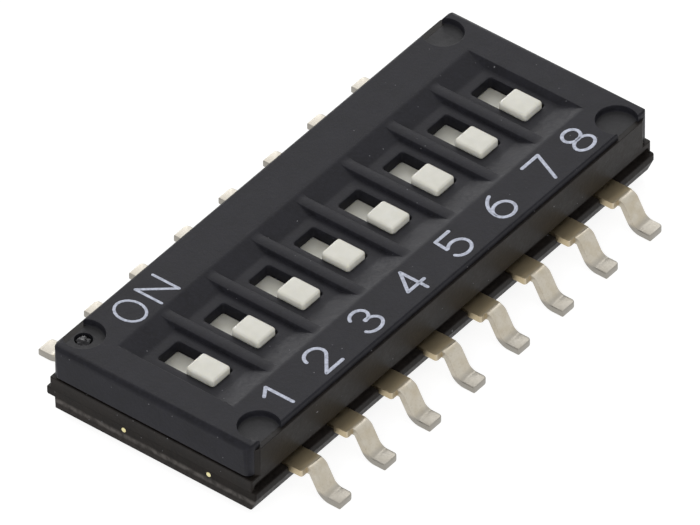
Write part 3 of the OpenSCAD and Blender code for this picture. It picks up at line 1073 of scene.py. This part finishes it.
# %% Terminals
LEAD_T = 0.14
LEAD_HALF_W = 0.19
SHOULDER_EXTRA = 0.145
SHOULDER_IN = LIP_HALF_W - 0.5
SHOULDER_OUT = LIP_HALF_W + 0.29
FOOT_L = 0.36
LEG_LEAN = math.radians(28.5)
CREST_BEND_R = 0.11
FOOT_BEND_R = 0.25
FOOT_CORNER_R = 0.08
STAMPED_EDGE_R = 0.022
SHOULDER_CORNER_R = 0.05
SHARP_ANGLE = 1.2
CLOSE = 1e-3


def strip_path(tip_y, end_y):
    """Corner points of a terminal's mid-plane, from its contact tip to the end of its foot."""
    high = LEAD_TOP - LEAD_T / 2
    low = LEAD_T / 2
    foot_y = end_y - FOOT_L - 0.03
    leg_top_y = foot_y - (high - low) * math.tan(LEG_LEAN)
    return [(tip_y, high), (SHOULDER_IN, high), (SHOULDER_OUT, high),
            (leg_top_y, high), (foot_y, low), (end_y, low)]


def ease_terminal(terminal, shoulder_x):
    """Rounds one corner of the foot, the leg's and foot's long edges, and the shoulder's corner."""
    bm = bmesh.new()
    bm.from_mesh(terminal.data)
    end_y = max(abs(v.co.y) for v in bm.verts)
    far_x = max(v.co.x for v in bm.verts)
    tip = [e for e in outer_edges(bm.edges, end_y - CLOSE) if length_along(e, 2) > LEAD_T / 2
           and all(v.co.x > far_x - CLOSE for v in e.verts)]
    bevel(bm, tip, FOOT_CORNER_R, 5)
    sharp = [e for e in bm.edges if e.is_manifold and e.calc_face_angle() > SHARP_ANGLE]
    leg = outer_edges(sharp, SHOULDER_OUT + 0.03)
    corner = [e for e in outer_edges(sharp, SHOULDER_OUT - 0.01) if length_along(e, 2) > 0.1
              and all(abs(v.co.x - shoulder_x) < CLOSE for v in e.verts)]
    bevel(bm, leg, STAMPED_EDGE_R, 3)
    bevel(bm, [e for e in corner if e.is_valid], SHOULDER_CORNER_R, 4)
    bm.to_mesh(terminal.data)
    bm.free()


def make_terminal(i, side, tip_y):
    """One terminal, on the ON side (side 1) or the number side (side -1)."""
    node = f"{'on' if side > 0 else 'number'}_terminal_{i}"
    low, high = box_mm(node)
    left = high.x - 2 * LEAD_HALF_W
    end_y = max(abs(low.y), abs(high.y))
    points = [(side * y, z) for y, z in strip_path(tip_y, end_y)]
    bm = bent_sheet(points, left, high.x)
    root = [e for e in bm.edges if all(
        abs(v.co.x - left) < TINY and SHOULDER_IN - TINY < abs(v.co.y) < SHOULDER_OUT + TINY
        for v in e.verts
    )]
    shoulder = bmesh.ops.extrude_edge_only(bm, edges=root)["geom"]
    bmesh.ops.translate(bm, vec=(-SHOULDER_EXTRA, 0, 0), verts=new_verts(shoulder))
    folds = [e for e in bm.edges if len(e.link_faces) == 2
             and e.calc_face_angle() > 0.3 and length_along(e, 0) > 0.1]
    crest = [e for e in folds if e.verts[0].co.z > LEAD_TOP / 2]
    foot = [e for e in folds if e.verts[0].co.z < LEAD_TOP / 2]
    for radius, fold in ((FOOT_BEND_R, foot), (CREST_BEND_R, crest)):
        bevel(bm, fold, radius * math.tan((math.pi / 2 - LEG_LEAN) / 2), 8)
    terminal = thickened(node, bm, LEAD_T)
    ease_terminal(terminal, left - SHOULDER_EXTRA)
    return finish_piece(terminal, node, "housing", terminal_metal)


number_tip_y = -box_mm("number_terminal_1")[1].y
on_tip_y = box_mm("on_terminal_1")[0].y
terminals = []
for i in range(1, WAYS + 1):
    terminals.append(make_terminal(i, -1, number_tip_y))
    terminals.append(make_terminal(i, 1, on_tip_y))
print("terminals:", len(terminals), "of", len(terminals[0].data.polygons), "faces")

# %% [markdown]
# ## The moving contacts
#
# Under each slider a thin gold-plated spring reaches down on both sides of its flat middle,
# and its two rounded toes ride on the fixed contacts. It is made as the terminals are: a
# chain of edges, bevelled at its bends, extruded sideways and thickened.

# %% Moving contacts
CLIP_FLAT = 0.46
CLIP_REACH = 0.96
CLIP_TOE = 0.08
CLIP_TOE_RISE = 0.06
CLIP_BEND = 0.03


def make_contact(i):
    """One moving contact, at its working height under the slider's plate."""
    low, high = box_mm(f"moving_contact_{i}")
    middle = (low.y + high.y) / 2
    top = high.z - CLIP_T / 2
    bottom = low.z + CLIP_T / 2
    half = [
        (CLIP_FLAT / 2, top), (CLIP_REACH / 2, bottom),
        (CLIP_REACH / 2 + CLIP_TOE, bottom + CLIP_TOE_RISE),
    ]
    points = [(middle - y, z) for y, z in reversed(half)] + [(middle + y, z) for y, z in half]
    bm = bent_sheet(points, low.x, high.x)
    bevel(bm, [e for e in bm.edges if len(e.link_faces) == 2], CLIP_BEND, 5)
    contact = thickened(f"moving_contact_{i}", bm, CLIP_T)
    return finish_piece(
        contact, f"moving_contact_{i}", f"switch_{i}", contact_metal
    )


contacts = [make_contact(i) for i in range(1, WAYS + 1)]
print("moving contacts:", len(contacts))

# %% [markdown]
# ## The tie bars
#
# The terminals come from the press joined by thin bars. When the case has been moulded round
# them the bars are cut off flush, and four bright cut ends are left in the ends of the base.

# %% Tie bars
BRIGHT_SHARE = 0.82
SHEARED_EDGE_R = 0.012


def make_tie_bar(node):
    """A cut tie bar: its bright middle, with a slightly rounded, sheared end."""
    low, high = box_mm(node)
    middle = (low + high) / 2
    bm = bmesh.new()
    radius = (high.z - low.z) / 2 * BRIGHT_SHARE
    bmesh.ops.create_cone(
        bm, segments=24, radius1=radius, radius2=radius, depth=high.x - low.x, cap_ends=True
    )
    bevel(bm, [e for e in bm.edges if length_along(e, 2) < TINY], SHEARED_EDGE_R, 3)
    onto_x = Matrix.Rotation(math.pi / 2, 3, "Y")
    bmesh.ops.rotate(bm, cent=(0, 0, 0), matrix=onto_x, verts=bm.verts)
    bmesh.ops.translate(bm, vec=middle, verts=bm.verts)
    return finish_piece(as_object(node, bm), node, "housing", tie_bar_metal)


tie_bars = [make_tie_bar(n) for n in sorted(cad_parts) if n.endswith("tie_bar")]
print("tie bars:", len(tie_bars))

# %% [markdown]
# ## The print
#
# The numbers and the word ON are pad-printed with a round-ended stroke, a little finer in
# ON. Each stroke is a curve with a round section that is then pressed flat, so that the ink
# lies on the case as a thin low bead, with no loose edges. A corner is where two strokes
# meet, each with its own round end, and rings are closed curves.

# %% The characters
NUMBER_STROKE = 0.035
ON_STROKE = 0.029
INK_HEIGHT = 0.003


def arc(cx, cy, rx, ry, start, end, steps=20):
    """Points along an arc of an ellipse, angles in degrees anticlockwise from +X."""
    return [
        (cx + rx * math.cos(math.radians(start + (end - start) * k / steps)),
         cy + ry * math.sin(math.radians(start + (end - start) * k / steps)))
        for k in range(steps + 1)
    ]


def ring(cx, cy, rx, ry):
    """A closed stroke round an ellipse."""
    return arc(cx, cy, rx, ry, 0, 342, 19), True


def bow(*measures):
    """An open stroke along an arc."""
    return arc(*measures), False


def line(*points):
    """An open stroke through those points."""
    return list(points), False


# Each character is a list of strokes in a cell 1 high whose left edge is 0
CHARACTERS = {
    "O": [ring(0.40, 0.5, 0.40, 0.5)],
    "N": [line((0, 0), (0, 1)), line((0, 1), (0.72, 0)), line((0.72, 0), (0.72, 1))],
    "1": [line((0, 0.78), (0.28, 1)), line((0.28, 1), (0.28, 0))],
    "2": [line(*arc(0.34, 0.70, 0.34, 0.30, 175, -35), (0, 0)), line((0, 0), (0.70, 0))],
    "3": [bow(0.32, 0.75, 0.28, 0.25, 160, -90), bow(0.32, 0.27, 0.34, 0.27, 90, -165)],
    "4": [line((0.52, 0), (0.52, 1)), line((0.52, 1), (0, 0.3)), line((0, 0.3), (0.74, 0.3))],
    "5": [line((0.62, 1), (0.08, 1)), line((0.08, 1), (0.04, 0.55)),
          bow(0.32, 0.32, 0.34, 0.32, 135, -160)],
    "6": [ring(0.34, 0.32, 0.34, 0.32), bow(0.70, 0.32, 0.70, 0.72, 180, 108)],
    "7": [line((0, 1), (0.66, 1)), line((0.66, 1), (0.26, 0))],
    "8": [ring(0.34, 0.75, 0.28, 0.25), ring(0.34, 0.26, 0.34, 0.26)],
}
print("characters to print with:", " ".join(CHARACTERS))

# %% Strokes as curves

# How a stroke rounds off past its last point: how far out in half widths, and its radius there
ROUND_END = [(0.999, 0.08), (0.92, 0.4), (0.7, 0.714), (0.38, 0.925)]


def round_end(point, inner, half_w):
    """The points past a stroke's last one, from the outside in, each with its radius."""
    outward = Vector((point[0] - inner[0], point[1] - inner[1])).normalized() * half_w
    return [
        ((point[0] + outward.x * way, point[1] + outward.y * way), radius)
        for way, radius in ROUND_END
    ]


def add_stroke(curve, points, closed, half_w):
    """One stroke as a poly spline with round ends."""
    rows = [(point, 1.0) for point in points]
    if not closed:
        start = round_end(points[0], points[1], half_w)
        end = round_end(points[-1], points[-2], half_w)
        rows = start + rows + end[::-1]
    spline = curve.splines.new("POLY")
    spline.points.add(len(rows) - 1)
    for target, ((x, y), radius) in zip(spline.points, rows):
        target.co = (x, y, 0, 1)
        target.radius = radius
    spline.use_cyclic_u = closed


def print_character(name, character, left, right, bottom, top, half_w):
    """Prints a character so that its ink fills the box given in millimetres."""
    strokes = CHARACTERS[character]
    xs = [x for points, _ in strokes for x, _ in points]
    width = max(xs) - min(xs)
    grow_x = (right - left - 2 * half_w) / width
    grow_y = top - bottom - 2 * half_w
    curve = bpy.data.curves.new(name, "CURVE")
    curve.dimensions = "3D"
    curve.bevel_depth = half_w
    curve.bevel_resolution = 3
    curve.use_fill_caps = True
    for points, closed in strokes:
        placed = [
            (left + half_w + (x - min(xs)) * grow_x, bottom + half_w + y * grow_y)
            for x, y in points
        ]
        add_stroke(curve, placed, closed, half_w)
    temporary = bpy.data.objects.new(name, curve)
    bpy.context.scene.collection.objects.link(temporary)
    mesh = evaluated_mesh(temporary)
    bpy.data.objects.remove(temporary)
    pressed_flat = Matrix.Diagonal((1, 1, INK_HEIGHT / half_w, 1))
    mesh.transform(Matrix.Translation((0, 0, TOP)) @ pressed_flat)
    piece = bpy.data.objects.new(name, mesh)
    bpy.context.scene.collection.objects.link(piece)
    return finish_piece(piece, None, "housing", white_print, 180)


# %% Print on the cover
NUMBER_BOTTOM, NUMBER_TOP = -2.07, -1.39
ON_BOTTOM, ON_TOP = 1.35, 2.02
O_LEFT, O_RIGHT = -4.42, -3.85
N_LEFT, N_RIGHT = -3.67, -3.12
N_DROP = 0.02
NUMBER_OFFSET = 0.085
NUMBER_HALF_W = 0.262
ONE_HALF_W = 0.14
LAST_SHIFT = -0.27

prints = [
    print_character("print_O", "O", O_LEFT, O_RIGHT, ON_BOTTOM, ON_TOP, ON_STROKE),
    print_character("print_N", "N", N_LEFT, N_RIGHT, ON_BOTTOM, ON_TOP - N_DROP, ON_STROKE),
]
for i, centre in enumerate(CENTRES, 1):
    middle = centre + NUMBER_OFFSET
    half = ONE_HALF_W if i == 1 else NUMBER_HALF_W
    if i == WAYS:
        middle += LAST_SHIFT
    prints.append(print_character(
        f"print_{i}", str(i), middle - half, middle + half, NUMBER_BOTTOM, NUMBER_TOP,
        NUMBER_STROKE,
    ))
print("printed characters:", len(prints))

# %% [markdown]
# ## Floor, world and lamps
#
# The switch stands on a plain pale floor. The camera, the gloss on the metal and plastic, and
# anything seen through glass all meet the floor and the world as white. The light itself is
# soft and nearly even, as in a light tent. Two softboxes behind, one high and one low, give
# the flat top and the feet their sheen. A low fill in front lifts the long side, and a weak
# lamp above models the knobs: neither of those two shows in the gloss, so they leave no
# second highlight.

# %% Which rays see the white surroundings


def seen_rays(owner):
    """1 for camera, glossy and transmission rays, 0 for the rays that only carry light."""
    rays = owner.node_tree.nodes.new("ShaderNodeLightPath").outputs
    either = calculated(owner, "MAXIMUM", rays["Is Camera Ray"], rays["Is Glossy Ray"])
    return calculated(owner, "MAXIMUM", either, rays["Is Transmission Ray"])


# %% Floor
FLOOR_HALF = 0.6
FLOOR_DROP = 0.00001
FLOOR_COLOUR = (0.8, 0.8, 0.8, 1)
FLOOR_SHADE = (0.28, 0.28, 0.28, 1)
FLOOR_GLOW = 0.86


def make_floor():
    """A wide floor that looks white, and still takes the object's shadow."""
    bm = bmesh.new()
    bmesh.ops.create_grid(bm, x_segments=1, y_segments=1, size=FLOOR_HALF)
    bmesh.ops.translate(bm, vec=(0, 0, -FLOOR_DROP), verts=bm.verts)
    floor = as_object("floor", bm)
    material = bpy.data.materials.new("floor")
    material.use_nodes = True
    nodes, links = material.node_tree.nodes, material.node_tree.links
    nodes.clear()
    output = nodes.new("ShaderNodeOutputMaterial")
    lit = nodes.new("ShaderNodeBsdfDiffuse")
    lit.inputs["Color"].default_value = FLOOR_COLOUR
    pale = nodes.new("ShaderNodeBsdfDiffuse")
    pale.inputs["Color"].default_value = FLOOR_SHADE
    glow = nodes.new("ShaderNodeEmission")
    glow.inputs["Strength"].default_value = FLOOR_GLOW
    both = nodes.new("ShaderNodeAddShader")
    seen = nodes.new("ShaderNodeMixShader")
    links.new(pale.outputs[0], both.inputs[0])
    links.new(glow.outputs[0], both.inputs[1])
    links.new(seen_rays(material), seen.inputs[0])
    links.new(lit.outputs[0], seen.inputs[1])
    links.new(both.outputs[0], seen.inputs[2])
    links.new(seen.outputs[0], output.inputs["Surface"])
    floor.data.materials.append(material)
    return floor


make_floor()

# %% World and lamps
WORLD_LIGHT = 0.62


def make_world():
    """A plain world: even light for the surfaces, white for whatever sees it."""
    world = bpy.data.worlds.new("world")
    bpy.context.scene.world = world
    world.use_nodes = True
    nodes, links = world.node_tree.nodes, world.node_tree.links
    background = nodes["Background"]
    background.inputs["Color"].default_value = (1, 1, 1, 1)
    strength = nodes.new("ShaderNodeMapRange")
    strength.inputs["To Min"].default_value = WORLD_LIGHT
    strength.inputs["To Max"].default_value = 1.0
    links.new(seen_rays(world), strength.inputs["Value"])
    links.new(strength.outputs["Result"], background.inputs["Strength"])


def make_lamp(name, azimuth, elevation, distance, size, power, in_gloss=True):
    """A square soft lamp that faces the object, azimuth anticlockwise from +X."""
    data = bpy.data.lights.new(name, "AREA")
    data.shape = "SQUARE"
    data.size = size
    data.energy = power
    lamp = bpy.data.objects.new(name, data)
    lamp.visible_glossy = in_gloss
    a, e = math.radians(azimuth), math.radians(elevation)
    place = Vector((math.cos(a) * math.cos(e), math.sin(a) * math.cos(e), math.sin(e))) * distance
    turn = place.to_track_quat("Z", "Y").to_matrix().to_4x4()
    lamp.matrix_world = Matrix.Translation(place) @ turn
    bpy.context.scene.collection.objects.link(lamp)
    return lamp


make_world()
make_lamp("back softbox", 38, 40, 0.6, 0.44, 0.82)
make_lamp("front fill", -150, 15, 0.6, 0.4, 2.1, in_gloss=False)
make_lamp("low back softbox", 52, 14, 0.6, 0.3, 0.75)
make_lamp("top softbox", -110, 72, 0.6, 0.4, 0.2, in_gloss=False)
bpy.context.scene.view_settings.view_transform = "Standard"
